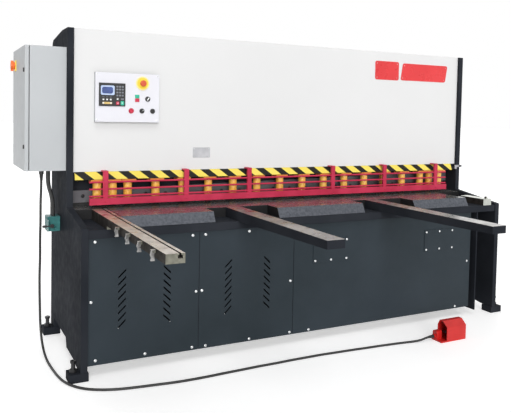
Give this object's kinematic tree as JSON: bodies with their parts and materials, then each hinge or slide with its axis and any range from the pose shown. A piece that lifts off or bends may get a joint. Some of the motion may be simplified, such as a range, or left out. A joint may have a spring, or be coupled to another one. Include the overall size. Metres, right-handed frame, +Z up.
{
  "type": "hydraulic shearing machine",
  "caption": "Hydraulic swing-beam shear for sheet metal: side frames, table with support arms, red finger guard, hold-downs, white cover, control box and electrical cabinet.",
  "frame": {"origin": "on the floor under the middle of the machine's bounding box, measured without the foot cable", "axes": "+X along the blades to the operator's right, +Y from the front to the back, +Z up"},
  "size_m": [3.643, 2.49, 2.076],
  "materials": {
    "frame_paint": "satin",
    "cover_paint": "satin",
    "cabinet_paint": "satin",
    "guard_paint": "satin",
    "hold_down_paint": "satin",
    "ground_steel": "ground",
    "black_steel": "satin",
    "black_plastic": "matte",
    "red_plastic": "gloss",
    "green_plastic": "gloss",
    "yellow_plastic": "gloss",
    "teal_paint": "satin",
    "cable_rubber": "matte"
  },
  "bodies": {
    "frame": {"side_frame_left": "frame_paint", "side_frame_right": "frame_paint", "feet": "frame_paint", "levelling_bolts": "black_steel", "worktable": "frame_paint", "bed": "ground_steel", "lower_blade": "ground_steel", "base_frame": "frame_paint", "front_panel_left": "frame_paint", "front_panel_middle": "frame_paint", "front_plate": "frame_paint", "access_plates": "frame_paint", "rear_tie_beam": "frame_paint", "chute": "frame_paint", "front_cover": "cover_paint", "stripe_board": "yellow_plastic", "hold_down_beam": "frame_paint", "hold_down_cylinders": "hold_down_paint", "main_cylinders": "frame_paint", "cylinder_beam": "frame_paint", "oil_tank": "frame_paint", "pump_motor": "frame_paint", "pivot_pins": "ground_steel", "finger_guard": "guard_paint", "cabinet": "cabinet_paint", "control_box": "cabinet_paint", "controller": "black_plastic", "emergency_disc": "yellow_plastic", "squaring_arm": "ground_steel", "support_arm_left": "frame_paint", "support_arm_right": "frame_paint", "side_guide": "ground_steel", "valve_box": "teal_paint", "conduits": "cable_rubber", "cable_gland": "black_plastic", "foot_switch": "red_plastic", "foot_cable": "cable_rubber"},
    "swing_beam_body": {"swing_beam": "frame_paint", "upper_blade": "ground_steel", "back_gauge": "frame_paint"},
    "rams": {"cylinder_rams": "ground_steel"},
    "plungers": {"hold_down_plungers": "hold_down_paint"},
    "door": {"cabinet_door": "cabinet_paint"},
    "switch_handle": {"main_switch": "yellow_plastic"},
    "emergency_button": {"emergency_stop": "red_plastic"},
    "start_key": {"start_button": "green_plastic"},
    "stop_key": {"stop_button": "red_plastic"},
    "red_key": {"red_button": "red_plastic"},
    "black_key": {"black_button": "black_plastic"},
    "mode_knob": {"mode_selector": "black_plastic"},
    "stroke_knob": {"stroke_selector": "black_plastic"},
    "pedal_body": {"pedal": "black_plastic"},
    "flip_stop_1_body": {"flip_stop_1": "ground_steel"},
    "flip_stop_2_body": {"flip_stop_2": "ground_steel"},
    "flip_stop_3_body": {"flip_stop_3": "ground_steel"},
    "flip_stop_4_body": {"flip_stop_4": "ground_steel"}
  },
  "joints": [
    {"name": "beam_swing", "type": "hinge", "parent": "frame", "child": "swing_beam_body", "pos_m": [0.1075, 0.665, 1], "axis": [1, 0, 0], "range_deg": [0, 14]},
    {"name": "ram_stroke", "type": "slide", "parent": "frame", "child": "rams", "axis": [0, 0, -1], "range_m": [0, 0.0435]},
    {"name": "plunger_stroke", "type": "slide", "parent": "frame", "child": "plungers", "axis": [0, 0, -1], "range_m": [0, 0.014]},
    {"name": "door_swing", "type": "hinge", "parent": "frame", "child": "door", "pos_m": [-1.7825, 0.8425, 1.566], "axis": [0, 0, -1], "range_deg": [0, 110]},
    {"name": "main_switch_turn", "type": "hinge", "parent": "door", "child": "switch_handle", "pos_m": [-1.8215, 0.705, 1.85], "axis": [-1, 0, 0], "range_deg": [0, 90]},
    {"name": "emergency_press", "type": "slide", "parent": "frame", "child": "emergency_button", "axis": [0, 1, 0], "range_m": [0, 0.004], "stiffness_N_per_m": 900},
    {"name": "start_press", "type": "slide", "parent": "frame", "child": "start_key", "axis": [0, 1, 0], "range_m": [0, 0.004], "stiffness_N_per_m": 500},
    {"name": "stop_press", "type": "slide", "parent": "frame", "child": "stop_key", "axis": [0, 1, 0], "range_m": [0, 0.004], "stiffness_N_per_m": 500},
    {"name": "red_press", "type": "slide", "parent": "frame", "child": "red_key", "axis": [0, 1, 0], "range_m": [0, 0.004], "stiffness_N_per_m": 500},
    {"name": "black_press", "type": "slide", "parent": "frame", "child": "black_key", "axis": [0, 1, 0], "range_m": [0, 0.004], "stiffness_N_per_m": 500},
    {"name": "mode_turn", "type": "hinge", "parent": "frame", "child": "mode_knob", "pos_m": [-1.0295, 0.201, 1.643], "axis": [0, -1, 0], "range_deg": [-45, 45]},
    {"name": "stroke_turn", "type": "hinge", "parent": "frame", "child": "stroke_knob", "pos_m": [-1.0675, 0.201, 1.564], "axis": [0, -1, 0], "range_deg": [-45, 45]},
    {"name": "pedal_press", "type": "hinge", "parent": "frame", "child": "pedal_body", "pos_m": [1.0165, -0.543, 0.03], "axis": [0, -1, 0], "range_deg": [0, 12], "stiffness_Nm_per_rad": 4, "springref_deg": -8.59},
    {"name": "flip_stop_1_flip", "type": "hinge", "parent": "frame", "child": "flip_stop_1_body", "pos_m": [-1.4125, -0.501, 0.926], "axis": [0, 1, 0], "range_deg": [0, 180]},
    {"name": "flip_stop_2_flip", "type": "hinge", "parent": "frame", "child": "flip_stop_2_body", "pos_m": [-1.4125, -0.707, 0.926], "axis": [0, 1, 0], "range_deg": [0, 180]},
    {"name": "flip_stop_3_flip", "type": "hinge", "parent": "frame", "child": "flip_stop_3_body", "pos_m": [-1.4125, -0.913, 0.926], "axis": [0, 1, 0], "range_deg": [0, 180]},
    {"name": "flip_stop_4_flip", "type": "hinge", "parent": "frame", "child": "flip_stop_4_body", "pos_m": [-1.4125, -1.119, 0.926], "axis": [0, 1, 0], "range_deg": [0, 180]}
  ],
  "couplings": [
    {"joint": "ram_stroke", "follows": "beam_swing", "m_per_rad": 0.176}
  ]
}
